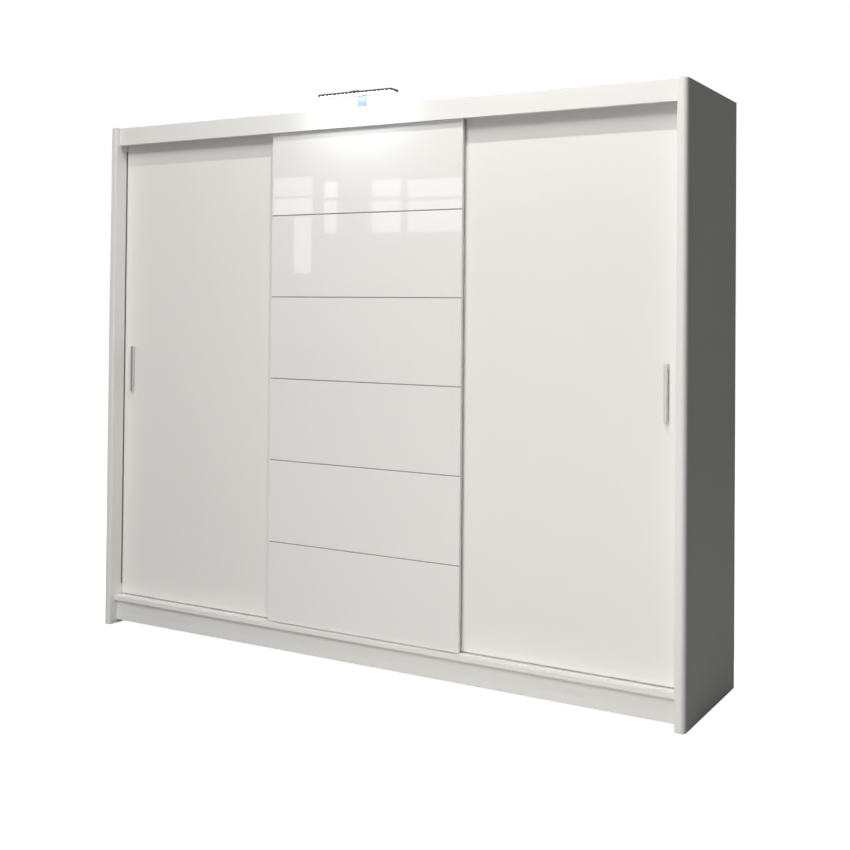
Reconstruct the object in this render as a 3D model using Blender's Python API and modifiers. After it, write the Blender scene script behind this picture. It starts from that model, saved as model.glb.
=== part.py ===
"""Three-door sliding wardrobe, 2.5 m wide, with a slim LED lamp on its top edge.

Metres, +Z up. X runs along the width, the doors face -Y, and the origin is on the
floor under the middle of the whole object. A depth below is counted from the front
of the side posts towards the back.
"""

import math

import bmesh
import bpy
from mathutils import Matrix, Vector

# Overall size, lamp left out
WIDTH = 2.500
HEIGHT = 2.100
DEPTH = 0.580

# Sheet stock and fits
BOARD = 0.016
BACK_SHEET = 0.003
FIT = 0.0003
EDGE_ROUND = 0.0008
WELD = 0.00001
SMOOTH_ANGLE = 35
CUTTER_REACH = 0.020

# Side posts: a moulding rebated for the side panel
POST_WIDTH = 0.036
POST_NOSE = 0.022
POST_OUTER_RADIUS = 0.020
POST_INNER_RADIUS = 0.005
ARC_STEPS = 8

# Carcass
FASCIA_HEIGHT = 0.073
FASCIA_DEPTH = 0.020
BASE_HEIGHT = 0.100
BASE_BOARD_DEPTH = 0.026
PLINTH_DEPTH = 0.041
PLINTH_CLEARANCE = 0.015
REAR_PLINTH_INSET = 0.034
PARTITION_BEHIND_DOOR_EDGE = 0.010
PARTITION_SET_BACK = 0.014
SHELF_SETBACK = 0.012
LEFT_SHELVES = 4
HAT_SHELF_DROP = 0.330

# Hanging rails
RAIL_RADIUS = 0.0125
RAIL_WALL = 0.0012
RAIL_DROP = 0.060
FLANGE_RADIUS = 0.021
FLANGE_THICKNESS = 0.003
CUP_WALL = 0.0025
CUP_LENGTH = 0.014
RAIL_SIDES = 24

# Doors
DOOR_THICKNESS = 0.016
DOOR_SET_BACK = 0.002
DOOR_GAP = 0.016
DOOR_OVERLAP = 0.0475
DOOR_END_GAP = 0.0015
DOOR_LIFT = 0.0017
DOOR_HEAD_GAP = 0.007

# Gloss tiles on the middle door
TILE_COUNT = 6
TILE_THICKNESS = 0.004
TILE_JOINT = 0.0035
TILE_ROUND = 0.0008
TOP_TILE_EXTRA = 0.0225
BOTTOM_TILE_SHORT = 0.011

# Bar handles
HANDLE_LENGTH = 0.192
HANDLE_WIDTH = 0.012
HANDLE_CLEARANCE = 0.0015
HANDLE_STEM_WIDTH = 0.007
HANDLE_STEM_REACH = 0.004
HANDLE_ROUND = 0.001
HANDLE_INSET = 0.049
HANDLE_MIDDLE_ABOVE_DOOR_FOOT = 0.955

# Tracks
TRACK_SHEET = 0.0015
BOTTOM_TRACK_LIP = 0.004
RIDGE_HEIGHT = 0.003
RIDGE_SIDE_ROOM = 0.0004
TOP_TRACK_HEIGHT = 0.032

# Door rollers
ROLLER_INSET = 0.070
HOUSING_LENGTH = 0.056
HOUSING_HEIGHT = 0.040
HOUSING_SKIN = 0.0015
HOUSING_CHEEK = 0.00165
WHEEL_RADIUS = 0.012
WHEEL_FLANGE = 0.0008
TREAD_SINK = 0.001
TREAD_SLOPE = 0.0004
AXLE_RADIUS = 0.0025
AXLE_SINK = 0.00025
WHEEL_ROOM = 0.0015
SIDE_ROOM = 0.0003
WHEEL_SIDES = 24

# Top guides
GUIDE_LENGTH = 0.060
GUIDE_RUNNER_LENGTH = 0.048
GUIDE_FOOT_HEIGHT = 0.004
GUIDE_HEIGHT = 0.023
GUIDE_SIDE_ROOM = 0.0013
GUIDE_CHAMFER = 0.006

# Lamp
LAMP_LENGTH = 0.320
LAMP_BODY_DEPTH = 0.053
LAMP_BODY_HEIGHT = 0.008
LAMP_OVERHANG = 0.030
LAMP_RISE = 0.043
LAMP_RIM = 0.004
LAMP_POCKET = 0.005
LAMP_LENS_THICKNESS = 0.0045
LAMP_ROUND = 0.0012
BRACKET_WIDTH = 0.034
BRACKET_SHEET = 0.003
BRACKET_FOOT = 0.052
BRACKET_ROUND = 0.0006
GLAND_RADIUS = 0.003
GLAND_LENGTH = 0.007
GLAND_PLACE = 0.060

# Places that follow from the sizes above
FRONT_Y = (LAMP_OVERHANG - DEPTH) / 2
INNER_HALF = WIDTH / 2 - POST_WIDTH
PANEL_HALF = WIDTH / 2 - BOARD
CARCASS_BACK = DEPTH - BACK_SHEET
FLOOR_TOP = BASE_HEIGHT + BOARD
CEILING = HEIGHT - BOARD
TRACK_TOP = FLOOR_TOP + FIT + TRACK_SHEET
RIDGE_TOP = TRACK_TOP + RIDGE_HEIGHT
DOOR_FOOT = RIDGE_TOP + DOOR_LIFT
DOOR_HEAD = CEILING - TOP_TRACK_HEIGHT - DOOR_HEAD_GAP
DOOR_HEIGHT = DOOR_HEAD - DOOR_FOOT
FRONT_DOOR_DEPTH = FASCIA_DEPTH + BOARD + DOOR_SET_BACK
REAR_DOOR_DEPTH = FRONT_DOOR_DEPTH + DOOR_THICKNESS + DOOR_GAP
REAR_DOOR_BACK = REAR_DOOR_DEPTH + DOOR_THICKNESS
HANDLE_REACH = DOOR_GAP - HANDLE_CLEARANCE
POST_DEPTH = REAR_DOOR_BACK + BOTTOM_TRACK_LIP
PARTITION_DEPTH = REAR_DOOR_BACK + PARTITION_SET_BACK
DOOR_WIDTH = (2 * INNER_HALF - 2 * DOOR_END_GAP + 2 * DOOR_OVERLAP) / 3
DOOR_SHIFT = INNER_HALF - DOOR_END_GAP - DOOR_WIDTH / 2
PARTITION_PLACE = DOOR_WIDTH / 2 - PARTITION_BEHIND_DOOR_EDGE
HOUSING_THICKNESS = DOOR_THICKNESS - TILE_THICKNESS - HOUSING_SKIN - 2 * FIT
WHEEL_WIDTH = HOUSING_THICKNESS - 2 * HOUSING_CHEEK - 2 * SIDE_ROOM
TREAD_WIDTH = WHEEL_WIDTH - 2 * WHEEL_FLANGE
RIDGE_WIDTH = TREAD_WIDTH - 2 * RIDGE_SIDE_ROOM
AXLE_LENGTH = HOUSING_THICKNESS - 2 * AXLE_SINK
WHEEL_SETBACK = DOOR_THICKNESS - HOUSING_THICKNESS / 2
WHEEL_TREAD_RADIUS = WHEEL_RADIUS - TREAD_SINK
WHEEL_Z = RIDGE_TOP + FIT + WHEEL_TREAD_RADIUS
INTERIOR_BACK = CARCASS_BACK - FIT

# Finishes: base colour, roughness, metallic
WHITE_LAMINATE = ((0.86, 0.86, 0.84), 0.45, 0.0)
SIDE_LAMINATE = ((0.72, 0.73, 0.72), 0.50, 0.0)
INNER_LAMINATE = ((0.82, 0.82, 0.80), 0.50, 0.0)
HARDBOARD = ((0.78, 0.77, 0.74), 0.60, 0.0)
GLOSS_GLASS = ((0.88, 0.88, 0.87), 0.05, 0.0)
SATIN_ALUMINIUM = ((0.70, 0.70, 0.70), 0.30, 1.0)
WHITE_ALUMINIUM = ((0.82, 0.82, 0.81), 0.35, 0.6)
CHROME = ((0.80, 0.82, 0.86), 0.10, 1.0)
GREY_PLASTIC = ((0.55, 0.55, 0.55), 0.45, 0.0)
WHITE_PLASTIC = ((0.85, 0.85, 0.84), 0.40, 0.0)
LAMP_GREY = ((0.25, 0.26, 0.28), 0.35, 0.8)
LAMP_LENS = ((0.95, 0.97, 1.00), 0.25, 0.0)

for old in list(bpy.data.objects):
    bpy.data.objects.remove(old)

parts = bpy.data.collections.new("sliding_door_wardrobe")
cutters = bpy.data.collections.new("cutters")
bpy.context.scene.collection.children.link(parts)
bpy.context.scene.collection.children.link(cutters)


def deep(depth):
    """World Y of a depth counted back from the front of the posts."""
    return FRONT_Y + depth


def move_to(piece, collection):
    """Keeps the piece in one collection only."""
    for other in list(piece.users_collection):
        other.objects.unlink(piece)
    collection.objects.link(piece)


def set_finish(piece, finish):
    """Gives the piece its own Principled material."""
    colour, roughness, metallic = finish
    material = bpy.data.materials.new(piece.name)
    material.use_nodes = True
    shader = material.node_tree.nodes["Principled BSDF"]
    shader.inputs["Base Color"].default_value = (*colour, 1.0)
    shader.inputs["Roughness"].default_value = roughness
    shader.inputs["Metallic"].default_value = metallic
    piece.data.materials.clear()
    piece.data.materials.append(material)


def round_edges(piece, width, segments=1):
    """Breaks the sharp edges of a piece."""
    bevel = piece.modifiers.new("round_edges", "BEVEL")
    bevel.width = width
    bevel.segments = segments
    bevel.limit_method = "ANGLE"


def smooth(piece):
    """Shades round faces smooth and keeps hard edges sharp."""
    piece.data.shade_smooth()
    piece.data.set_sharp_from_angle(angle=math.radians(SMOOTH_ANGLE))


def box(name, low, high, collection):
    """A box between two corners given as (x, depth, z), with its origin at its middle."""
    low = Vector((low[0], deep(low[1]), low[2]))
    high = Vector((high[0], deep(high[1]), high[2]))
    bpy.ops.mesh.primitive_cube_add(size=1, location=(low + high) / 2)
    piece = bpy.context.object
    piece.name = name
    piece.data.transform(Matrix.Diagonal((*(high - low), 1)))
    move_to(piece, collection)
    return piece


def board(name, low, high, finish, edge=EDGE_ROUND):
    """A board, sheet or block with lightly broken edges."""
    piece = box(name, low, high, parts)
    set_finish(piece, finish)
    round_edges(piece, edge)
    return piece


def cut(piece, cutter):
    """Cuts one shape out of another."""
    cutter.hide_render = True
    cutter.display_type = "WIRE"
    move_to(cutter, cutters)
    boolean = piece.modifiers.new("cut_" + cutter.name, "BOOLEAN")
    boolean.object = cutter
    boolean.operation = "DIFFERENCE"
    boolean.solver = "EXACT"


def join(piece, addition):
    """Joins a second shape onto a piece, so that both are one body."""
    addition.hide_render = True
    addition.display_type = "WIRE"
    move_to(addition, cutters)
    boolean = piece.modifiers.new("join_" + addition.name, "BOOLEAN")
    boolean.object = addition
    boolean.operation = "UNION"
    boolean.solver = "EXACT"


def extrusion(name, outline, length, turn, middle, finish):
    """A flat outline drawn in its own XY plane, made as long as given and turned into place."""
    curve = bpy.data.curves.new(name, "CURVE")
    curve.dimensions = "2D"
    curve.fill_mode = "BOTH"
    curve.extrude = length / 2
    spline = curve.splines.new("POLY")
    spline.points.add(len(outline) - 1)
    for point, (across, along) in zip(spline.points, outline):
        point.co = (across, along, 0, 1)
    spline.use_cyclic_u = True
    drawn = bpy.data.objects.new(name + "_outline", curve)
    parts.objects.link(drawn)
    bpy.context.view_layer.update()
    drawn_mesh = drawn.evaluated_get(bpy.context.evaluated_depsgraph_get())
    mesh = bpy.data.meshes.new_from_object(drawn_mesh)
    welded = bmesh.new()
    welded.from_mesh(mesh)
    bmesh.ops.remove_doubles(welded, verts=welded.verts, dist=WELD)
    bmesh.ops.recalc_face_normals(welded, faces=welded.faces)
    welded.to_mesh(mesh)
    welded.free()
    bpy.data.objects.remove(drawn)
    piece = bpy.data.objects.new(name, mesh)
    piece.matrix_world = Matrix.Translation(middle) @ turn
    parts.objects.link(piece)
    set_finish(piece, finish)
    return piece


def turned(name, profile, turn, middle, finish, sides):
    """A profile of (radius, height) points from top to bottom, spun round its own Z axis."""
    mesh = bpy.data.meshes.new(name)
    points = [(radius, 0, height) for radius, height in profile]
    mesh.from_pydata(points, [(i, i + 1) for i in range(len(points) - 1)], [])
    piece = bpy.data.objects.new(name, mesh)
    piece.matrix_world = Matrix.Translation(middle) @ turn
    parts.objects.link(piece)
    screw = piece.modifiers.new("spin", "SCREW")
    screw.axis = "Z"
    screw.steps = sides
    screw.render_steps = sides
    screw.use_merge_vertices = True
    screw.merge_threshold = WELD
    screw.use_smooth_shade = True
    screw.use_normal_calculate = False
    set_finish(piece, finish)
    return piece


def arc(centre, radius, start, end):
    """Points on an arc, angles in degrees."""
    angles = [math.radians(start + (end - start) * i / ARC_STEPS) for i in range(ARC_STEPS + 1)]
    return [(centre[0] + radius * math.cos(a), centre[1] + radius * math.sin(a)) for a in angles]


# Turns for shapes drawn in their own XY plane
ALONG_X = Matrix(((0, 0, 1, 0), (1, 0, 0, 0), (0, 1, 0, 0), (0, 0, 0, 1)))
ALONG_Y = Matrix(((1, 0, 0, 0), (0, 0, -1, 0), (0, 1, 0, 0), (0, 0, 0, 1)))
ALONG_Z = Matrix.Identity(4)


def make_side(side, name):
    """One end of the wardrobe: a plain board and the rounded post that covers its front."""
    outer = side * WIDTH / 2
    inner = side * PANEL_HALF
    board(
        "side_panel_" + name,
        (min(outer, inner), POST_NOSE + FIT, 0),
        (max(outer, inner), CARCASS_BACK - FIT, HEIGHT),
        SIDE_LAMINATE,
    )
    outer_round = (WIDTH / 2 - POST_OUTER_RADIUS, POST_OUTER_RADIUS)
    inner_round = (INNER_HALF + POST_INNER_RADIUS, POST_INNER_RADIUS)
    outline = arc(inner_round, POST_INNER_RADIUS, 180, 270)
    outline += arc(outer_round, POST_OUTER_RADIUS, 270, 360)
    outline += [
        (WIDTH / 2, POST_NOSE),
        (PANEL_HALF - FIT, POST_NOSE),
        (PANEL_HALF - FIT, POST_DEPTH),
        (INNER_HALF, POST_DEPTH),
    ]
    mirrored = [(side * across, along) for across, along in outline]
    post = extrusion(
        "side_post_" + name, mirrored, HEIGHT, ALONG_Z, (0, FRONT_Y, HEIGHT / 2), WHITE_LAMINATE
    )
    smooth(post)


def make_notched_board(name, front, low, high):
    """A full-width board that reaches the side panels and is notched round both posts."""
    reach = PANEL_HALF - FIT
    between = INNER_HALF - FIT
    notch = POST_DEPTH + FIT
    back = CARCASS_BACK - FIT
    outline = [
        (-between, front),
        (between, front),
        (between, notch),
        (reach, notch),
        (reach, back),
        (-reach, back),
        (-reach, notch),
        (-between, notch),
    ]
    extrusion(name, outline, high - low, ALONG_Z, (0, FRONT_Y, (low + high) / 2), INNER_LAMINATE)


def make_carcass():
    """Boards, base, fascia, partitions and the hardboard back."""
    make_side(-1, "left")
    make_side(1, "right")
    make_notched_board("bottom_panel", BASE_BOARD_DEPTH, BASE_HEIGHT, FLOOR_TOP)
    make_notched_board("top_panel", FASCIA_DEPTH + BOARD + FIT, CEILING, HEIGHT)
    between = INNER_HALF - FIT
    board(
        "top_fascia",
        (-between, FASCIA_DEPTH, HEIGHT - FASCIA_HEIGHT),
        (between, FASCIA_DEPTH + BOARD, HEIGHT),
        WHITE_LAMINATE,
    )
    board(
        "plinth_front",
        (-between, PLINTH_DEPTH, PLINTH_CLEARANCE),
        (between, PLINTH_DEPTH + BOARD, BASE_HEIGHT - FIT),
        WHITE_LAMINATE,
    )
    rear = CARCASS_BACK - REAR_PLINTH_INSET
    board(
        "plinth_rear",
        (-PANEL_HALF + FIT, rear - BOARD, 0),
        (PANEL_HALF - FIT, rear, BASE_HEIGHT - FIT),
        INNER_LAMINATE,
    )
    for side, name in ((-1, "left"), (1, "right")):
        middle = side * PARTITION_PLACE
        board(
            "partition_" + name,
            (middle - BOARD / 2, PARTITION_DEPTH, FLOOR_TOP + FIT),
            (middle + BOARD / 2, INTERIOR_BACK, CEILING - FIT),
            INNER_LAMINATE,
        )
    seams = [-WIDTH / 2, -PARTITION_PLACE, PARTITION_PLACE, WIDTH / 2]
    for name, left, right in zip(("left", "middle", "right"), seams, seams[1:]):
        board(
            "back_panel_" + name,
            (left + FIT, CARCASS_BACK, BASE_HEIGHT),
            (right - FIT, DEPTH, HEIGHT),
            HARDBOARD,
        )


def make_rail(name, left, right, z):
    """A tube between two round end brackets."""
    depth = (PARTITION_DEPTH + INTERIOR_BACK) / 2
    middle = Vector(((left + right) / 2, deep(depth), z))
    length = right - left - 2 * (FLANGE_THICKNESS + 2 * FIT)
    inner_radius = RAIL_RADIUS - RAIL_WALL
    tube = [
        (RAIL_RADIUS, length / 2),
        (RAIL_RADIUS, -length / 2),
        (inner_radius, -length / 2),
        (inner_radius, length / 2),
        (RAIL_RADIUS, length / 2),
    ]
    turned("hanging_rail_" + name, tube, ALONG_X, middle, CHROME, RAIL_SIDES)
    bore = RAIL_RADIUS + FIT
    cup = bore + CUP_WALL
    bracket = [
        (0, FLANGE_THICKNESS),
        (bore, FLANGE_THICKNESS),
        (bore, CUP_LENGTH),
        (cup, CUP_LENGTH),
        (cup, FLANGE_THICKNESS),
        (FLANGE_RADIUS, FLANGE_THICKNESS),
        (FLANGE_RADIUS, 0),
        (0, 0),
    ]
    for end, wall, turn in (
        ("left", left + FIT, ALONG_X),
        ("right", right - FIT, ALONG_X @ Matrix.Rotation(math.pi, 4, "X")),
    ):
        place = Vector((wall, middle.y, z))
        turned(f"rail_bracket_{name}_{end}", bracket, turn, place, CHROME, RAIL_SIDES)


def make_interior():
    """Shelves and hanging rails in the three compartments."""
    wall = PANEL_HALF - FIT
    near = PARTITION_PLACE + BOARD / 2 + FIT
    inside = PARTITION_PLACE - BOARD / 2 - FIT
    front = PARTITION_DEPTH + SHELF_SETBACK
    bay = (CEILING - FLOOR_TOP + BOARD) / (LEFT_SHELVES + 1)
    for number in range(1, LEFT_SHELVES + 1):
        top = FLOOR_TOP + number * bay
        board(
            f"shelf_left_{number}",
            (-wall, front, top - BOARD),
            (-near, INTERIOR_BACK, top),
            INNER_LAMINATE,
        )
    hat = CEILING - HAT_SHELF_DROP
    for name, left, right in (("middle", -inside, inside), ("right", near, wall)):
        board(
            "hat_shelf_" + name, (left, front, hat - BOARD), (right, INTERIOR_BACK, hat), INNER_LAMINATE
        )
        make_rail(name, left, right, hat - BOARD - RAIL_DROP)


def make_tracks():
    """The extruded top guide channels and the low bottom rail."""
    doors = (FRONT_DOOR_DEPTH, REAR_DOOR_DEPTH)
    roof = CEILING - FIT
    under = roof - TRACK_SHEET
    foot = roof - TOP_TRACK_HEIGHT
    walls = [place for door in doors for place in (door - TRACK_SHEET, door + DOOR_THICKNESS)]
    outline = [(walls[0], roof)]
    for wall in walls:
        outline += [(wall, under), (wall, foot), (wall + TRACK_SHEET, foot), (wall + TRACK_SHEET, under)]
    outline.pop(1)
    outline.pop()
    outline.append((walls[-1] + TRACK_SHEET, roof))
    length = 2 * (INNER_HALF - FIT)
    extrusion("top_track", outline, length, ALONG_X, (0, FRONT_Y, 0), SATIN_ALUMINIUM)
    base = FLOOR_TOP + FIT
    ridges = [door + WHEEL_SETBACK for door in doors]
    outline = [(doors[0] - BOTTOM_TRACK_LIP, base), (doors[0] - BOTTOM_TRACK_LIP, TRACK_TOP)]
    for ridge in ridges:
        low, high = ridge - RIDGE_WIDTH / 2, ridge + RIDGE_WIDTH / 2
        outline += [(low, TRACK_TOP), (low, RIDGE_TOP), (high, RIDGE_TOP), (high, TRACK_TOP)]
    far = doors[1] + DOOR_THICKNESS + BOTTOM_TRACK_LIP
    outline += [(far, TRACK_TOP), (far, base)]
    extrusion("bottom_track", outline, length, ALONG_X, (0, FRONT_Y, 0), WHITE_ALUMINIUM)


def adopt(carriage, piece):
    """Parents a piece to its carriage where it stands."""
    bpy.context.view_layer.update()
    piece.parent = carriage
    piece.matrix_parent_inverse = carriage.matrix_world.inverted()


def make_roller(carriage, door, name, x, depth):
    """A wheel in its housing, let into a notch in the back of the door's foot."""
    half = HOUSING_LENGTH / 2
    back = depth + DOOR_THICKNESS
    notch = box(
        f"roller_notch_{name}",
        (x - half, back - HOUSING_THICKNESS - FIT, DOOR_FOOT - CUTTER_REACH),
        (x + half, back + CUTTER_REACH, DOOR_FOOT + HOUSING_HEIGHT),
        cutters,
    )
    cut(door, notch)
    housing = board(
        f"roller_housing_{name}",
        (x - half + FIT, back - HOUSING_THICKNESS, DOOR_FOOT),
        (x + half - FIT, back, DOOR_FOOT + HOUSING_HEIGHT - FIT),
        GREY_PLASTIC,
    )
    centre = depth + WHEEL_SETBACK
    room = WHEEL_RADIUS + WHEEL_ROOM
    slot_half = WHEEL_WIDTH / 2 + SIDE_ROOM
    slot = box(
        f"wheel_slot_{name}",
        (x - room, centre - slot_half, DOOR_FOOT - CUTTER_REACH),
        (x + room, centre + slot_half, WHEEL_Z + room),
        cutters,
    )
    cut(housing, slot)
    bpy.ops.mesh.primitive_cylinder_add(
        vertices=WHEEL_SIDES,
        radius=AXLE_RADIUS + SIDE_ROOM,
        depth=CUTTER_REACH,
        location=(x, deep(centre), WHEEL_Z),
        rotation=(math.pi / 2, 0, 0),
    )
    hole = bpy.context.object
    hole.name = f"axle_hole_{name}"
    cut(housing, hole)
    profile = [
        (0, AXLE_LENGTH / 2),
        (AXLE_RADIUS, AXLE_LENGTH / 2),
        (AXLE_RADIUS, WHEEL_WIDTH / 2),
        (WHEEL_RADIUS, WHEEL_WIDTH / 2),
        (WHEEL_RADIUS, TREAD_WIDTH / 2 + TREAD_SLOPE),
        (WHEEL_TREAD_RADIUS, TREAD_WIDTH / 2),
    ]
    profile += [(radius, -height) for radius, height in reversed(profile)]
    place = (x, deep(centre), WHEEL_Z)
    wheel = turned(f"roller_wheel_{name}", profile, ALONG_Y, place, WHITE_PLASTIC, WHEEL_SIDES)
    adopt(carriage, housing)
    adopt(carriage, wheel)


def make_top_guide(carriage, name, x, depth):
    """A plastic runner on the door's top edge that slides in the top channel."""
    long_half = GUIDE_LENGTH / 2
    runner = GUIDE_RUNNER_LENGTH / 2
    foot = DOOR_HEAD + FIT
    step = foot + GUIDE_FOOT_HEIGHT
    top = foot + GUIDE_HEIGHT
    outline = [
        (-long_half, foot),
        (long_half, foot),
        (long_half, step),
        (runner, step),
        (runner, top - GUIDE_CHAMFER),
        (runner - GUIDE_CHAMFER, top),
        (GUIDE_CHAMFER - runner, top),
        (-runner, top - GUIDE_CHAMFER),
        (-runner, step),
        (-long_half, step),
    ]
    thickness = DOOR_THICKNESS - 2 * GUIDE_SIDE_ROOM
    place = (x, deep(depth + DOOR_THICKNESS / 2), 0)
    guide = extrusion("top_guide_" + name, outline, thickness, ALONG_Y, place, WHITE_PLASTIC)
    adopt(carriage, guide)


def make_carriage(name, x, depth):
    """The empty that a whole door slides with."""
    carriage = bpy.data.objects.new(name + "_door_carriage", None)
    carriage.location = (x, deep(depth + DOOR_THICKNESS / 2), DOOR_FOOT + DOOR_HEIGHT / 2)
    parts.objects.link(carriage)
    return carriage


def fit_running_gear(carriage, door, name, x, depth):
    """Two rollers under a door and two guides on top of it."""
    reach = DOOR_WIDTH / 2 - ROLLER_INSET
    for end, place in (("left", x - reach), ("right", x + reach)):
        make_roller(carriage, door, f"{name}_{end}", place, depth)
        make_top_guide(carriage, f"{name}_{end}", place, depth)


def make_plain_door(name, side):
    """A laminated outer door with a bar handle near its outer edge."""
    x = side * DOOR_SHIFT
    depth = REAR_DOOR_DEPTH
    carriage = make_carriage(name, x, depth)
    door = board(
        f"{name}_door_panel",
        (x - DOOR_WIDTH / 2, depth, DOOR_FOOT),
        (x + DOOR_WIDTH / 2, depth + DOOR_THICKNESS, DOOR_HEAD),
        WHITE_LAMINATE,
    )
    adopt(carriage, door)
    fit_running_gear(carriage, door, name, x, depth)
    half, stem = HANDLE_WIDTH / 2, HANDLE_STEM_WIDTH / 2
    tee = [
        (-stem, -FIT),
        (-stem, -HANDLE_STEM_REACH),
        (-half, -HANDLE_STEM_REACH),
        (-half, -HANDLE_REACH),
        (half, -HANDLE_REACH),
        (half, -HANDLE_STEM_REACH),
        (stem, -HANDLE_STEM_REACH),
        (stem, -FIT),
    ]
    edge = x + side * (DOOR_WIDTH / 2 - HANDLE_INSET)
    place = (edge, deep(depth), DOOR_FOOT + HANDLE_MIDDLE_ABOVE_DOOR_FOOT)
    handle = extrusion(f"{name}_handle", tee, HANDLE_LENGTH, ALONG_Z, place, SATIN_ALUMINIUM)
    round_edges(handle, HANDLE_ROUND)
    adopt(carriage, handle)


def make_middle_door():
    """The front door: a backing board faced with a column of gloss tiles."""
    depth = FRONT_DOOR_DEPTH
    carriage = make_carriage("middle", 0, depth)
    half = DOOR_WIDTH / 2
    backing = board(
        "middle_door_backing",
        (-half, depth + TILE_THICKNESS + FIT, DOOR_FOOT),
        (half, depth + DOOR_THICKNESS, DOOR_HEAD),
        WHITE_LAMINATE,
    )
    adopt(carriage, backing)
    pitch = (DOOR_HEIGHT + BOTTOM_TILE_SHORT - TOP_TILE_EXTRA) / TILE_COUNT
    joints = [DOOR_FOOT + number * pitch - BOTTOM_TILE_SHORT for number in range(1, TILE_COUNT)]
    lows = [DOOR_FOOT] + [joint + TILE_JOINT / 2 for joint in joints]
    highs = [joint - TILE_JOINT / 2 for joint in joints] + [DOOR_HEAD]
    for number, (low, high) in enumerate(zip(lows, highs), start=1):
        tile = board(
            f"middle_door_tile_{number}",
            (-half, depth, low),
            (half, depth + TILE_THICKNESS, high),
            GLOSS_GLASS,
            TILE_ROUND,
        )
        adopt(carriage, tile)
    fit_running_gear(carriage, backing, "middle", 0, depth)


def make_lamp():
    """A flat LED lamp carried over the front edge by a bent strip of metal."""
    front = -LAMP_OVERHANG
    rear = front + LAMP_BODY_DEPTH
    low = HEIGHT + LAMP_RISE
    high = low + LAMP_BODY_HEIGHT
    half = LAMP_LENGTH / 2
    housing = board("lamp_housing", (-half, front, low), (half, rear, high), LAMP_GREY, LAMP_ROUND)
    bpy.ops.mesh.primitive_cylinder_add(
        vertices=WHEEL_SIDES,
        radius=GLAND_RADIUS,
        depth=2 * GLAND_LENGTH,
        location=(GLAND_PLACE, deep(rear), (low + high) / 2),
        rotation=(math.pi / 2, 0, 0),
    )
    gland = bpy.context.object
    gland.name = "lead_gland"
    join(housing, gland)
    pocket = box(
        "lens_pocket",
        (-half + LAMP_RIM, front + LAMP_RIM, low - LAMP_POCKET),
        (half - LAMP_RIM, rear - LAMP_RIM - GLAND_LENGTH / 2, low + LAMP_POCKET),
        cutters,
    )
    cut(housing, pocket)
    board(
        "lamp_lens",
        (-half + LAMP_RIM + FIT, front + LAMP_RIM + FIT, low),
        (half - LAMP_RIM - FIT, rear - LAMP_RIM - GLAND_LENGTH / 2 - FIT, low + LAMP_LENS_THICKNESS),
        LAMP_LENS,
    )
    sheet = BRACKET_SHEET
    wall = rear + 2 * FIT
    seat = HEIGHT + FIT
    under = high + FIT
    bent = [
        (wall + BRACKET_FOOT, seat),
        (wall + BRACKET_FOOT, seat + sheet),
        (wall + sheet, seat + sheet),
        (wall + sheet, under + sheet),
        (front, under + sheet),
        (front, under),
        (wall, under),
        (wall, seat),
    ]
    bracket = extrusion("lamp_bracket", bent, BRACKET_WIDTH, ALONG_X, (0, FRONT_Y, 0), CHROME)
    round_edges(bracket, BRACKET_ROUND)


make_carcass()
make_interior()
make_tracks()
make_plain_door("left", -1)
make_middle_door()
make_plain_door("right", 1)
make_lamp()
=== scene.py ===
import math

import bmesh
import bpy
from mathutils import Matrix, Vector


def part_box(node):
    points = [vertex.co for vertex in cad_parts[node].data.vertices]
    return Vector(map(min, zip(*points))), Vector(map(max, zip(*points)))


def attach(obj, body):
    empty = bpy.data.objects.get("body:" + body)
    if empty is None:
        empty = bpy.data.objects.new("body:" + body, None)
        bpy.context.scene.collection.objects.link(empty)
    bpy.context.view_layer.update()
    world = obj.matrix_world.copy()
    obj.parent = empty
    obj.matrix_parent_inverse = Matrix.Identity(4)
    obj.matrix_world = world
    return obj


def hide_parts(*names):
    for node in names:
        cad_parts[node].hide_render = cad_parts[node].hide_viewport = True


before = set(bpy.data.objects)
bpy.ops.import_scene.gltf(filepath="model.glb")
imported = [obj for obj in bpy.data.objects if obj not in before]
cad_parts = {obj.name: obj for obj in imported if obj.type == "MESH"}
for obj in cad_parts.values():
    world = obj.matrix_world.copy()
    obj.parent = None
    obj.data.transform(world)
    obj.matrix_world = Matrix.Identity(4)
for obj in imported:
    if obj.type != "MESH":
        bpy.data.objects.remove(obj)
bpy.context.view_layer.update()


# ---- End panels ----
# The two ends are 16 mm chipboard, faced with white melamine and edged with thin plastic band.
# They stand on the floor and carry every other board; the posts are glued over their front edge.
# Their colour is a greyer white than the fronts': painted shade, so that they read darker.

MM = 0.001
# Painted shade: the ends' white is set greyer than the fronts' white so that they render darker.
END_WHITE_PAINTED_SHADE = (0.72, 0.73, 0.72)
END_ROUGHNESS = 0.5
MOTTLE = 0.018
SMEAR = 0.07
PEBBLE_DEPTH = 0.04 * MM


class Value:
    """A number that changes over a surface. Sums of values add the nodes that work them out."""

    def __init__(self, finish, socket):
        self.finish = finish
        self.socket = socket

    def work_out(self, operation, first, second=0):
        node = self.finish.node("ShaderNodeMath", {"operation": operation}, {0: first, 1: second})
        return Value(self.finish, node.outputs[0])

    def __add__(self, other):
        return self.work_out("ADD", self, other)

    def __mul__(self, other):
        return self.work_out("MULTIPLY", self, other)

    def __lt__(self, other):
        return self.work_out("LESS_THAN", self, other)

    def __gt__(self, other):
        """Python turns number < value into this."""
        return self.work_out("GREATER_THAN", self, other)

    __radd__ = __add__
    __rmul__ = __mul__

    def sine(self):
        return self.work_out("SINE", self)


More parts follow.
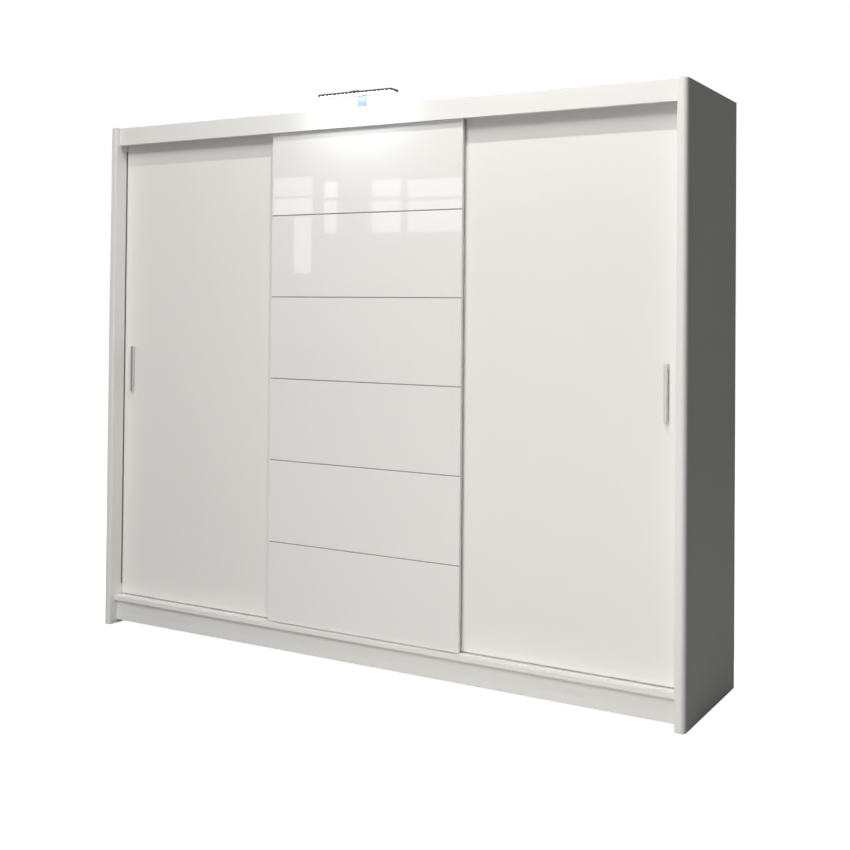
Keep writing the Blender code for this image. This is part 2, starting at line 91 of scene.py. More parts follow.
class Finish:
    """One surface finish: a Principled shader and the nodes that feed it."""

    def __init__(self, name, **constants):
        self.material = bpy.data.materials.new(name)
        self.material.use_nodes = True
        self.tree = self.material.node_tree
        self.shader = self.tree.nodes["Principled BSDF"]
        self.feed(self.shader, {key.replace("_", " "): value for key, value in constants.items()})

    def feed(self, node, sockets):
        """Gives sockets their numbers, or links values to them."""
        for key, value in sockets.items():
            if isinstance(value, Value):
                value = value.socket
            if isinstance(value, bpy.types.NodeSocket):
                self.tree.links.new(value, node.inputs[key])
            else:
                node.inputs[key].default_value = value

    def node(self, kind, settings=None, sockets=None):
        """Adds a node, makes its settings and then feeds its sockets with values or links."""
        made = self.tree.nodes.new(kind)
        for key, value in (settings or {}).items():
            setattr(made, key, value)
        self.feed(made, sockets or {})
        return made

    def place(self, stretch=(1, 1, 1)):
        """Where a point is on the piece, in metres, with each direction stretched as given."""
        own = self.node("ShaderNodeTexCoord").outputs["Object"]
        return self.node("ShaderNodeMapping", {}, {"Vector": own, "Scale": stretch}).outputs[0]

    def coordinate(self, axis):
        """How far along an axis a point is, in metres."""
        return Value(self, self.node("ShaderNodeSeparateXYZ", {}, {0: self.place()}).outputs[axis])

    def noise(self, per_metre, detail=2, stretch=(1, 1, 1)):
        """Soft blotches from 0 to 1, so many to the metre."""
        sockets = {"Vector": self.place(stretch), "Scale": per_metre, "Detail": detail}
        return Value(self, self.node("ShaderNodeTexNoise", {}, sockets).outputs["Fac"])

    def blend(self, share, first, second):
        """One colour passing into another."""
        sockets = {0: share}
        for key, colour in ((6, first), (7, second)):
            sockets[key] = colour if isinstance(colour, bpy.types.NodeSocket) else (*colour, 1)
        return self.node("ShaderNodeMix", {"data_type": "RGBA"}, sockets).outputs[2]

    def tint(self, share, colour, spread):
        """A colour a little darker and lighter from place to place."""
        dark = [channel * (1 - spread) for channel in colour]
        light = [min(channel * (1 + spread), 1) for channel in colour]
        self.feed(self.shader, {"Base Color": self.blend(share, dark, light)})

    def dull(self, share, least, most):
        """A roughness that changes from place to place."""
        self.feed(self.shader, {"Roughness": share * (most - least) + least})

    def texture(self, height, depth, strength=1):
        """Fine relief, with its depth in metres."""
        sockets = {"Height": height, "Distance": depth, "Strength": strength}
        self.feed(self.shader, {"Normal": self.node("ShaderNodeBump", {}, sockets).outputs[0]})


def laminate(name, colour, roughness):
    """Melamine paper pressed on chipboard: faint mottling, hand smears and a fine pebble grain."""
    finish = Finish(name, Specular_IOR_Level=0.45)
    finish.tint(finish.noise(3, detail=4) * 0.7 + finish.noise(240) * 0.3, colour, MOTTLE)
    smears = finish.noise(5, detail=3, stretch=(1, 1, 0.35))
    finish.dull(smears, roughness - SMEAR, roughness + SMEAR)
    finish.texture(finish.noise(700, detail=3), depth=PEBBLE_DEPTH)
    return finish


def dress(node, finish):
    """Gives a node of the frame its finish."""
    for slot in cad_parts[node].material_slots:
        slot.material = finish.material


end_board_painted_shade = laminate("end_board_painted_shade", END_WHITE_PAINTED_SHADE, END_ROUGHNESS)
for side in ("left", "right"):
    dress(f"side_panel_{side}", end_board_painted_shade)


# ---- Side posts ----
# A solid moulding wrapped in the same white foil as the doors, rebated to take the end panel.
# Its outer front corner is a large quarter round and its inner one a small one.

WHITE = (0.86, 0.86, 0.845)
WHITE_ROUGHNESS = 0.42
POST_OUTER_RADIUS = 20 * MM
POST_INNER_RADIUS = 5 * MM
POST_END_RADIUS = 0.8 * MM
REBATE_GLUE = 0.3 * MM
CLOSE = 0.1 * MM
# A direction runs along an axis when its share on it is over ALIGNED, and across it when that is
# under CROSSWISE.
ALIGNED = 0.9
CROSSWISE = 0.1
SMOOTH_ANGLE = 32


def start_block(name, low, high):
    """Adds a block between two corners and opens it for shaping."""
    low, high = Vector(low), Vector(high)
    bpy.ops.object.select_all(action="DESELECT")
    bpy.ops.mesh.primitive_cube_add(size=1, location=(low + high) / 2)
    piece = bpy.context.object
    piece.name = name
    piece.scale = high - low
    bpy.ops.object.transform_apply(location=True, rotation=True, scale=True)
    bpy.ops.object.mode_set(mode="EDIT")
    return piece


def pick_faces(piece, wanted):
    """Selects the faces whose middle and normal are wanted."""
    bpy.ops.mesh.select_mode(type="FACE")
    bpy.ops.mesh.select_all(action="DESELECT")
    shape = bmesh.from_edit_mesh(piece.data)
    shape.normal_update()
    for face in shape.faces:
        if wanted(face.calc_center_median(), face.normal):
            face.select_set(True)
    bmesh.update_edit_mesh(piece.data)


def pick_edges(piece, wanted):
    """Selects the edges whose middle and direction are wanted."""
    bpy.ops.mesh.select_mode(type="EDGE")
    bpy.ops.mesh.select_all(action="DESELECT")
    shape = bmesh.from_edit_mesh(piece.data)
    for edge in shape.edges:
        start, end = [corner.co for corner in edge.verts]
        if wanted((start + end) / 2, (end - start).normalized()):
            edge.select_set(True)
    bmesh.update_edit_mesh(piece.data)


def extrude(move):
    """Draws the picked faces out, or in, by a distance."""
    bpy.ops.mesh.extrude_region_move(TRANSFORM_OT_translate={"value": move})


def round_off(radius, segments):
    """Rounds the picked edges."""
    bpy.ops.mesh.bevel(offset=radius, segments=segments, profile=0.5, affect="EDGES")


def near(first, second):
    """Whether two lengths are the same but for rounding."""
    return abs(first - second) < CLOSE


def modify(kind, **settings):
    """Adds a modifier to the open piece and applies it."""
    bpy.ops.object.modifier_add(type=kind)
    modifier = bpy.context.object.modifiers[-1]
    for key, value in settings.items():
        setattr(modifier, key, value)
    bpy.ops.object.modifier_apply(modifier=modifier.name)


def finish_piece(piece, finish):
    """Leaves edit mode, shades the piece and gives it its material."""
    bpy.ops.object.mode_set(mode="OBJECT")
    bpy.ops.object.shade_smooth_by_angle(angle=math.radians(SMOOTH_ANGLE))
    modify("WEIGHTED_NORMAL", keep_sharp=True)
    piece.data.name = piece.name
    piece.data.materials.clear()
    piece.data.materials.append(finish.material)


def put_on(piece, slot, body, *replaced):
    """Puts a finished piece on its body, in place of the nodes that it stands for."""
    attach(piece, body)
    if replaced:
        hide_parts(*replaced)


white_board = laminate("white_board", WHITE, WHITE_ROUGHNESS)
for side, name in ((-1, "left"), (1, "right")):
    low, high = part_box(f"side_post_{name}")
    panel_low, panel_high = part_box(f"side_panel_{name}")
    rebate = panel_low.x if side > 0 else panel_high.x
    outer, inner = (high.x, low.x) if side > 0 else (low.x, high.x)
    nose_back = panel_low.y
    post = start_block(f"post_{name}", low, (high.x, nose_back, high.z))
    bpy.ops.mesh.select_all(action="SELECT")
    bpy.ops.mesh.bisect(plane_co=(rebate - side * REBATE_GLUE, 0, 0), plane_no=(1, 0, 0))
    pick_faces(post, lambda middle, normal: normal.y > ALIGNED and abs(middle.x) < abs(rebate))
    extrude((0, high.y - nose_back, 0))
    for corner, radius, segments in ((outer, POST_OUTER_RADIUS, 16), (inner, POST_INNER_RADIUS, 6)):
        pick_edges(
            post,
            lambda middle, line: abs(line.z) > ALIGNED
            and near(middle.y, low.y)
            and near(middle.x, corner),
        )
        round_off(radius, segments)
    pick_edges(post, lambda middle, line: abs(line.z) < CROSSWISE and middle.y < nose_back - MM)
    round_off(POST_END_RADIUS, segments=2)
    finish_piece(post, white_board)
    put_on(post, "white_laminate", "carcass", f"side_post_{name}")


# ---- Buffer strips ----
# A narrow pile strip on the inner side of each post, where the closed outer door meets it. It is
# grey polypropylene brush on a self-adhesive back. Its near-black colour is also painted shade for
# the gap.

PILE_HEIGHT = 1.2 * MM
PILE_WIDTH = 5 * MM
PILE_GAP = 0.5 * MM
PILE_END = 40 * MM
PILE_ROUND = 0.5 * MM
# Near black: partly the pile's own grey, partly painted shade for the dark gap between post and
# door.
PILE_NEAR_BLACK_GAP_SHADE = (0.10, 0.10, 0.098)
brush = Finish("brush_pile_gap_shade", Specular_IOR_Level=0.2)
brush.tint(brush.noise(3000, detail=3, stretch=(1, 1, 0.4)), PILE_NEAR_BLACK_GAP_SHADE, spread=0.35)
brush.dull(brush.noise(1200), least=0.8, most=0.95)
brush.texture(brush.noise(3000, detail=3, stretch=(1, 1, 0.5)), depth=0.4 * MM)
for side, name in ((-1, "left"), (1, "right")):
    door_low, door_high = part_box(f"{name}_door_panel")
    low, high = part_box(f"side_post_{name}")
    wall = low.x if side > 0 else high.x
    face = door_low.y - PILE_GAP
    pile = start_block(
        f"buffer_strip_{name}",
        (min(wall, wall - side * PILE_HEIGHT), face - PILE_WIDTH, door_low.z + PILE_END),
        (max(wall, wall - side * PILE_HEIGHT), face, door_high.z - PILE_END),
    )
    pick_edges(pile, lambda middle, line: near(middle.x, wall - side * PILE_HEIGHT))
    round_off(PILE_ROUND, segments=3)
    finish_piece(pile, brush)
    put_on(pile, "housing_plastic", "carcass")


# ---- Base, top and inner boards ----
# Plain 16 mm boards between the ends, screwed and doweled. The bottom board reaches forward as a
# sill over the plinth, and the fascia hides the top track. Only the edges in sight are banded.

INNER_WHITE = (0.82, 0.82, 0.80)
INNER_ROUGHNESS = 0.48
inner_board = laminate("inner_board", INNER_WHITE, INNER_ROUGHNESS)
for node in ("top_fascia", "plinth_front", "bottom_panel"):
    dress(node, white_board)
for node in ("top_panel", "plinth_rear", "partition_left", "partition_right"):
    dress(node, inner_board)


# ---- Shelves and their pins ----
# Four loose shelves in the left bay, each on four nickel pegs pushed into the sides, and a fixed
# hat shelf in the other bays.

SHELVES = 4
PIN_RADIUS = 2.5 * MM
PIN_COLLAR_RADIUS = 4.2 * MM
PIN_COLLAR = 1.2 * MM
PIN_LENGTH = 9 * MM
PIN_INSET = 50 * MM
PIN_ROUND = 0.5 * MM
NICKEL = (0.66, 0.64, 0.60)
ALONG_X = (0, math.pi / 2, 0)
ALONG_Y = (math.pi / 2, 0, 0)


def round_bar(name, place, radius, length, turn, sides, ends="NGON"):
    """Adds a round bar and opens it for shaping."""
    bpy.ops.object.select_all(action="DESELECT")
    bpy.ops.mesh.primitive_cylinder_add(
        vertices=sides,
        radius=radius,
        depth=length,
        location=place,
        rotation=turn,
        end_fill_type=ends,
    )
    piece = bpy.context.object
    piece.name = name
    bpy.ops.object.transform_apply(location=True, rotation=True, scale=True)
    bpy.ops.object.mode_set(mode="EDIT")
    return piece


def copy_of(piece, name, place=(0, 0, 0), turn=(0, 0, 0)):
    """A copy with its own mesh, turned about the origin and then moved to its place."""
    bpy.ops.object.select_all(action="DESELECT")
    piece.select_set(True)
    bpy.context.view_layer.objects.active = piece
    bpy.ops.object.duplicate(linked=False)
    twin = bpy.context.object
    twin.name = twin.data.name = name
    twin.rotation_euler = turn
    twin.location = place
    bpy.ops.object.transform_apply(location=True, rotation=True, scale=True)
    return twin


def joined(pieces):
    """Makes one piece of several."""
    bpy.ops.object.select_all(action="DESELECT")
    for piece in pieces:
        piece.select_set(True)
    bpy.context.view_layer.objects.active = pieces[0]
    bpy.ops.object.join()
    return pieces[0]


nickel = Finish("nickel", Metallic=1)
nickel.tint(nickel.noise(900, detail=3), NICKEL, spread=0.06)
nickel.dull(nickel.noise(1500, detail=3), least=0.22, most=0.38)
nickel.texture(nickel.noise(2600), depth=0.01 * MM)
collar = (PIN_COLLAR / 2, 0, 0)
pin = round_bar("shelf_pin", collar, PIN_COLLAR_RADIUS, PIN_COLLAR, ALONG_X, sides=24)
pick_faces(pin, lambda middle, normal: normal.x > ALIGNED)
bpy.ops.mesh.inset(thickness=PIN_COLLAR_RADIUS - PIN_RADIUS, depth=0)
extrude((PIN_LENGTH, 0, 0))
pick_edges(pin, lambda middle, line: middle.x > PIN_LENGTH and abs(line.x) < CROSSWISE)
round_off(PIN_ROUND, segments=2)
finish_piece(pin, nickel)
for number in range(1, SHELVES + 1):
    node = f"shelf_left_{number}"
    dress(node, inner_board)
    low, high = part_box(node)
    pins = []
    for y in (low.y + PIN_INSET, high.y - PIN_INSET):
        for x, turn in ((low.x, 0), (high.x, math.pi)):
            place = (x, y, low.z - PIN_RADIUS)
            pins.append(copy_of(pin, f"shelf_pins_{number}", place, (0, 0, turn)))
    put_on(joined(pins), "chrome", "carcass")
bpy.data.objects.remove(pin)
for bay in ("middle", "right"):
    dress(f"hat_shelf_{bay}", inner_board)


# ---- Back ----
# Three sheets of thin hardboard, lacquered off-white, butted on the partitions and nailed all round
# into the boards behind them with small flat heads.

NAIL_RADIUS = 2.6 * MM
NAIL_PROUD = 0.4 * MM
NAIL_GAP = 140 * MM
NAIL_EDGE = 4.3 * MM
NAIL_ROUND = 0.25 * MM
SHEET_EDGE = 0.4 * MM
SHEET_COLOUR = (0.78, 0.77, 0.74)


def repeat(count, step):
    """Repeats the active piece in a row."""
    modify(
        "ARRAY",
        count=count,
        use_relative_offset=False,
        use_constant_offset=True,
        constant_offset_displace=step,
    )


hardboard = Finish("hardboard", Specular_IOR_Level=0.35)
fibres = hardboard.noise(420, detail=4, stretch=(1, 1, 0.22))
clouds = hardboard.noise(60, detail=3)
hardboard.tint(fibres * 0.6 + clouds * 0.4, SHEET_COLOUR, spread=0.06)
hardboard.dull(hardboard.noise(14, detail=3), least=0.5, most=0.7)
hardboard.texture(hardboard.noise(900, detail=4, stretch=(1, 1, 0.3)), depth=0.12 * MM)
for sheet in ("left", "middle", "right"):
    low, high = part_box(f"back_panel_{sheet}")
    face = high.y - NAIL_PROUD
    board = start_block(f"back_sheet_{sheet}", low, (high.x, face, high.z))
    pick_edges(board, lambda middle, line: middle.y > face - NAIL_PROUD)
    round_off(SHEET_EDGE, segments=2)
    finish_piece(board, hardboard)
    put_on(board, "back_hardboard", "carcass", f"back_panel_{sheet}")
    corner = (low.x + NAIL_EDGE, face, low.z + NAIL_EDGE)
    nail = round_bar("nail", corner, NAIL_RADIUS, 2 * NAIL_PROUD, ALONG_Y, sides=16)
    pick_edges(nail, lambda middle, line: middle.y > face and abs(line.y) < CROSSWISE)
    round_off(NAIL_ROUND, segments=2)
    finish_piece(nail, nickel)
    across = high.x - low.x - 2 * NAIL_EDGE
    upward = high.z - low.z - 2 * NAIL_EDGE
    columns = round(across / NAIL_GAP) + 1
    rows = round(upward / NAIL_GAP) + 1
    side_nails = copy_of(nail, "side_nails")
    for part, count, step in (
        (nail, columns, (across / (columns - 1), 0, 0)),
        (side_nails, rows - 2, (0, 0, upward / (rows - 1))),
    ):
        bpy.ops.object.select_all(action="DESELECT")
        bpy.context.view_layer.objects.active = part
        repeat(count, step)
    top_nails = copy_of(nail, "top_nails", (0, 0, upward))
    left_nails = copy_of(side_nails, "left_nails", (0, 0, upward / (rows - 1)))
    right_nails = copy_of(side_nails, "right_nails", (across, 0, upward / (rows - 1)))
    bpy.data.objects.remove(side_nails)
    nails = joined([nail, top_nails, left_nails, right_nails])
    nails.name = nails.data.name = f"back_nails_{sheet}"
    put_on(nails, "chrome", "carcass")


# ---- Hanging rails ----
# Chromed steel tube, 25 mm across, dropped into two die-cast end cups. Each cup's round flange is
# held to the board by three pan-head screws.

RAIL_WALL = 1.2 * MM
FLANGE = 2.5 * MM
FLANGE_RADIUS = 21 * MM
CUP_RADIUS = 15.3 * MM
BORE_RADIUS = 12.8 * MM
CUP_FLOOR = 3 * MM
SCREW_CIRCLE = 18.1 * MM
SCREW_RADIUS = 2.3 * MM
SCREW_HEIGHT = 1.1 * MM
SCREW_SHOULDER = 0.9 * SCREW_RADIUS
SCREW_RIM = 0.55 * SCREW_RADIUS
SCREW_RECESS = 0.6 * SCREW_HEIGHT
SCREW_ROUND = 0.45 * SCREW_HEIGHT
SCREW_ANGLES = (90, 210, 330)
CUP_ROUND = 0.7 * MM
CHROME = (0.80, 0.82, 0.86)
chrome = Finish("chrome", Metallic=1)
chrome.tint(chrome.noise(22, detail=3), CHROME, spread=0.03)
chrome.dull(chrome.noise(60, detail=4, stretch=(0.25, 1, 1)), least=0.05, most=0.15)
chrome.texture(chrome.noise(1800, stretch=(0.1, 1, 1)), depth=0.004 * MM)


def screw(name):
    """The head of a screw at the origin, looking along -Y, with a small recess."""
    place = (0, -SCREW_HEIGHT / 2, 0)
    head = round_bar(name, place, SCREW_RADIUS, SCREW_HEIGHT, ALONG_Y, sides=24)
    pick_faces(head, lambda middle, normal: normal.y < -ALIGNED)
    bpy.ops.mesh.inset(thickness=SCREW_RIM, depth=0)
    extrude((0, SCREW_RECESS, 0))
    top = -SCREW_HEIGHT
    pick_edges(head, lambda middle, line: near(middle.y, top) and middle.length > SCREW_SHOULDER)
    round_off(SCREW_ROUND, segments=3)
    finish_piece(head, nickel)
    return head


def in_ring(middle, line):
    """Whether an edge runs round the X axis."""
    return abs(line.x) < CROSSWISE and abs(line.yz.dot(middle.yz)) < CROSSWISE * middle.yz.length


low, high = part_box("rail_bracket_middle_left")
cup_length = high.x - low.x
cup = round_bar("rail_cup", (FLANGE / 2, 0, 0), FLANGE_RADIUS, FLANGE, ALONG_X, sides=64)
pick_faces(cup, lambda middle, normal: normal.x > ALIGNED)
bpy.ops.mesh.inset(thickness=FLANGE_RADIUS - CUP_RADIUS, depth=0)
extrude((cup_length - FLANGE, 0, 0))
bpy.ops.mesh.inset(thickness=CUP_RADIUS - BORE_RADIUS, depth=0)
extrude((CUP_FLOOR - cup_length, 0, 0))
pick_edges(
    cup,
    lambda middle, line: in_ring(middle, line)
    and (
        near(middle.x, cup_length)
        or near(middle.x, FLANGE)
        and middle.yz.length > CUP_RADIUS + MM
    ),
)
round_off(CUP_ROUND, segments=3)
finish_piece(cup, chrome)
head = screw("cup_screw")
for bay in ("middle", "right"):
    low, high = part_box(f"hanging_rail_{bay}")
    centre = (low + high) / 2
    radius, length = high.z - centre.z, high.x - low.x
    rail = round_bar(f"rail_{bay}", centre, radius, length, ALONG_X, sides=64, ends="NOTHING")
    bpy.ops.object.mode_set(mode="OBJECT")
    modify("SOLIDIFY", thickness=RAIL_WALL, offset=-1)
    finish_piece(rail, chrome)
    put_on(rail, "chrome", "carcass", f"hanging_rail_{bay}")
    for end, turn in (("left", 0), ("right", math.pi)):
        node = f"rail_bracket_{bay}_{end}"
        low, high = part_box(node)
        wall = high.x if turn else low.x
        holder = copy_of(cup, f"rail_cup_{bay}_{end}", (wall, centre.y, centre.z), (0, 0, turn))
        put_on(holder, "chrome", "carcass", node)
        inward = -1 if turn else 1
        screws = []
        for angle in SCREW_ANGLES:
            y = centre.y + SCREW_CIRCLE * math.cos(math.radians(angle))
            z = centre.z + SCREW_CIRCLE * math.sin(math.radians(angle))
            place = (wall + inward * FLANGE, y, z)
            outward = (0, 0, inward * math.pi / 2)
            screws.append(copy_of(head, f"cup_screws_{bay}_{end}", place, outward))
        put_on(joined(screws), "chrome", "carcass")
bpy.data.objects.remove(cup)


# ---- Tracks ----
# The top track is extruded aluminium with two deep channels, screwed under the top board. The
# bottom track is a flat white-coated strip with a rolling ridge under each line of doors.

TRACK_SCREWS = 9
TRACK_FLOOR = 1.1 * MM
LOOK_UP = (-math.pi / 2, 0, 0)
TRACK_SILVER = (0.70, 0.70, 0.69)
TRACK_WHITE = (0.82, 0.82, 0.81)
track_metal = Finish("track_metal", Metallic=1)
track_metal.tint(track_metal.noise(900, detail=3, stretch=(0.012, 1, 1)), TRACK_SILVER, spread=0.05)
track_metal.dull(track_metal.noise(2400, stretch=(0.01, 1, 1)), least=0.26, most=0.44)
track_metal.texture(track_metal.noise(3000, stretch=(0.006, 1, 1)), depth=0.01 * MM)
dress("top_track", track_metal)
white_track = Finish("white_track")
rubbed = white_track.noise(260, detail=3, stretch=(0.02, 1, 1))
white_track.tint(rubbed, TRACK_WHITE, spread=0.03)
white_track.dull(rubbed, least=0.28, most=0.48)
white_track.texture(white_track.noise(1200, detail=3), depth=0.02 * MM)
dress("bottom_track", white_track)
low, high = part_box("bottom_track")
screws = []
for number in range(TRACK_SCREWS):
    x = low.x + (high.x - low.x) * (number + 0.5) / TRACK_SCREWS
    place = (x, (low.y + high.y) / 2, low.z + TRACK_FLOOR)
    screws.append(copy_of(head, "track_screws", place, LOOK_UP))
put_on(joined(screws), "chrome", "carcass")


# ---- Outer doors ----
# Chipboard leaves in white laminate with banded edges, on the rear track. Each handle is a satin
# aluminium bar of T section, screwed through the leaf from behind near its outer edge.

HANDLE_ROUND = 1.6 * MM
HANDLE_STEM = 4 * MM
HANDLE_LIP = 2.5 * MM
HANDLE_END = 3 * MM
SATIN_SILVER = (0.80, 0.80, 0.79)
satin = Finish("satin_aluminium", Metallic=1)
grain = satin.noise(900, detail=3, stretch=(1, 1, 0.012)) * 0.7 + satin.noise(40) * 0.3
satin.tint(grain, SATIN_SILVER, spread=0.06)
satin.dull(satin.noise(2400, stretch=(1, 1, 0.01)), least=0.24, most=0.42)
satin.texture(satin.noise(3000, stretch=(1, 1, 0.006)), depth=0.01 * MM)
for name in ("left", "right"):
    dress(f"{name}_door_panel", white_board)
    low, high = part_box(f"{name}_handle")
    handle = start_block(f"handle_{name}", low, (high.x, high.y - HANDLE_STEM, high.z))
    pick_faces(handle, lambda middle, normal: normal.y > ALIGNED)
    bpy.ops.mesh.inset(thickness=HANDLE_LIP, depth=0)
    extrude((0, HANDLE_STEM, 0))
    pick_edges(
        handle,
        lambda middle, line: abs(line.y) > ALIGNED
        and middle.y < high.y - HANDLE_STEM - MM
        and abs(middle.z - (low.z + high.z) / 2) > (high.z - low.z) / 2 - MM,
    )
    round_off(HANDLE_END, segments=5)
    pick_edges(handle, lambda middle, line: abs(line.y) < CROSSWISE and near(middle.y, low.y))
    round_off(HANDLE_ROUND, segments=4)
    finish_piece(handle, satin)
    put_on(handle, "satin_aluminium", f"{name}_door", f"{name}_handle")


# ---- Middle door ----
# A chipboard leaf on the front track, faced with six back-painted glass tiles. The leaf's front
# face is coloured grey where the open joints between the tiles show it; the tiles' edges are ground
# round and polished.

TILES = 6
TILE_ROUND = 1.3 * MM
TILE_WHITE = (0.88, 0.88, 0.87)
GROOVE_GREY = (0.36, 0.36, 0.355)
GROOVE_SKIN = 0.3 * MM
BACKING_SHADE = 0.98
backing = laminate("backing_board", WHITE, WHITE_ROUGHNESS)
low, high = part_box("middle_door_backing")
# The backing is grey on its front face, which shows in the joints, and white elsewhere.
grey_front_face = backing.coordinate("Y") < low.y + GROOVE_SKIN
mottle = backing.noise(240) * 0.3 + backing.noise(3, detail=4) * 0.7
board_white = backing.blend(mottle, [channel * BACKING_SHADE for channel in WHITE], WHITE)
backing.feed(backing.shader, {"Base Color": backing.blend(grey_front_face, board_white, GROOVE_GREY)})
dress("middle_door_backing", backing)
gloss = Finish("gloss_tile", Coat_Roughness=0.02, IOR=1.5)
gloss.tint(gloss.noise(2, detail=3) * 0.8 + gloss.noise(600) * 0.2, TILE_WHITE, spread=0.008)
gloss.feed(gloss.shader, {"Coat Weight": gloss.noise(6) * 0.2 + 0.5})
gloss.dull(gloss.noise(18, detail=4), least=0.005, most=0.035)
gloss.texture(gloss.noise(5, detail=1), depth=0.4 * MM, strength=0.06)
for number in range(1, TILES + 1):
    low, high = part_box(f"middle_door_tile_{number}")
    tile = start_block(f"gloss_tile_{number}", low, high)
    pick_edges(tile, lambda middle, line: near(middle.y, low.y))
    round_off(TILE_ROUND, segments=4)
    finish_piece(tile, gloss)
    put_on(tile, "gloss_glass", "middle_door", f"middle_door_tile_{number}")


# ---- Rollers and guides ----
# Each door rolls on two nylon wheels in moulded housings let into its foot, and two nylon runners
# on its head slide in the top channel. Both are screwed to the leaf.

LOOK_BACK = (0, 0, math.pi)
HOUSING_SCREW_REACH = 22 * MM
HOUSING_SCREW_RISE = 32 * MM
GUIDE_SCREW_REACH = 27 * MM
GUIDE_FOOT = 4 * MM
SCREW_SUNK = 0.6 * MM
PLASTIC_GREY = (0.55, 0.55, 0.55)
PLASTIC_WHITE = (0.85, 0.85, 0.84)
grey_plastic = Finish("grey_plastic", Specular_IOR_Level=0.4)
grey_plastic.tint(grey_plastic.noise(120, detail=4), PLASTIC_GREY, spread=0.05)
grey_plastic.dull(grey_plastic.noise(300, detail=3), least=0.38, most=0.58)
grey_plastic.texture(grey_plastic.noise(1600, detail=3), depth=0.04 * MM)
white_plastic = Finish("white_plastic", Specular_IOR_Level=0.45)
white_plastic.tint(white_plastic.noise(90, detail=4), PLASTIC_WHITE, spread=0.03)
white_plastic.dull(white_plastic.noise(260, detail=3), least=0.3, most=0.5)
white_plastic.texture(white_plastic.noise(1600), depth=0.02 * MM)
for door in ("left", "middle", "right"):
    for end in ("left", "right"):
        dress(f"roller_housing_{door}_{end}", grey_plastic)
        dress(f"roller_wheel_{door}_{end}", white_plastic)
        dress(f"top_guide_{door}_{end}", white_plastic)
        low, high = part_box(f"roller_housing_{door}_{end}")
        centre = (low.x + high.x) / 2
        screws = [
            copy_of(
                head,
                f"roller_screws_{door}_{end}",
                (centre + reach, high.y - SCREW_SUNK, low.z + HOUSING_SCREW_RISE),
                LOOK_BACK,
            )
            for reach in (-HOUSING_SCREW_REACH, HOUSING_SCREW_REACH)
        ]
        low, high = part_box(f"top_guide_{door}_{end}")
        screws += [
            copy_of(
                head,
                f"roller_screws_{door}_{end}",
                (centre + reach, (low.y + high.y) / 2, low.z + GUIDE_FOOT - SCREW_SUNK),
                LOOK_UP,
            )
            for reach in (-GUIDE_SCREW_REACH, GUIDE_SCREW_REACH)
        ]
        put_on(joined(screws), "chrome", f"{door}_door")


# ---- Lamp body ----
# A slim die-cast bar over the front edge, painted dark grey, that holds a row of light-emitting
# diodes. Its front rim is notched under every diode, and a pocket behind that takes the lens.

BODY_DEPTH = 53 * MM
BODY_ROUND = 1.4 * MM
DIODES = 18
DIODE_GAP = 17.5 * MM
NOTCH_RADIUS = 4 * MM
NOTCH_DROP = 0.7 * MM
NOTCH_REACH = 0.4 * MM
LAMP_GREY = (0.10, 0.105, 0.115)
lamp_grey = Finish("lamp_grey")
lamp_grey.tint(lamp_grey.noise(500, detail=3), LAMP_GREY, spread=0.12)
lamp_grey.dull(lamp_grey.noise(700, detail=3), least=0.3, most=0.5)
lamp_grey.feed(lamp_grey.shader, {"Metallic": lamp_grey.noise(900) * 0.3 + 0.45})
lamp_grey.texture(lamp_grey.noise(1400, detail=3), depth=0.03 * MM)
low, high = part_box("lamp_housing")
lens_low, lens_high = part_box("lamp_lens")
rim = lens_low.y - low.y
shell = start_block("lamp_body", low, (high.x, low.y + BODY_DEPTH, high.z))
pick_faces(shell, lambda middle, normal: normal.z < -ALIGNED)
bpy.ops.mesh.inset(thickness=rim, depth=0)
pick_edges(
    shell,
    lambda middle, line: abs(line.x) > ALIGNED
    and near(middle.z, low.z)
    and near(middle.y, low.y + BODY_DEPTH - rim),
)
bpy.ops.transform.translate(value=(0, lens_high.y - (low.y + BODY_DEPTH - rim), 0))
pick_faces(
    shell,
    lambda middle, normal: normal.z < -ALIGNED
    and near(middle.x, 0)
    and near(middle.y, (lens_low.y + lens_high.y) / 2),
)
extrude((0, 0, lens_high.z - lens_low.z))
pick_edges(shell, lambda middle, line: near(middle.z, high.z))
round_off(BODY_ROUND, segments=4)
bpy.ops.object.mode_set(mode="OBJECT")
place = (-DIODE_GAP * (DIODES - 1) / 2, low.y, low.z - NOTCH_DROP)
cutter = round_bar("notch_cutter", place, NOTCH_RADIUS, 2 * rim + NOTCH_REACH, ALONG_Y, sides=24)
bpy.ops.object.mode_set(mode="OBJECT")
repeat(DIODES, (DIODE_GAP, 0, 0))
bpy.ops.object.select_all(action="DESELECT")
bpy.context.view_layer.objects.active = shell
shell.select_set(True)
modify("BOOLEAN", object=cutter, operation="DIFFERENCE", solver="EXACT")
bpy.data.objects.remove(cutter)
finish_piece(shell, lamp_grey)
put_on(shell, "lamp_grey", "carcass", "lamp_housing")


# ---- Lamp lens ----
# A bar of milky acrylic clipped into the underside of the body. It glows a cool white, a little
# brighter under each diode.

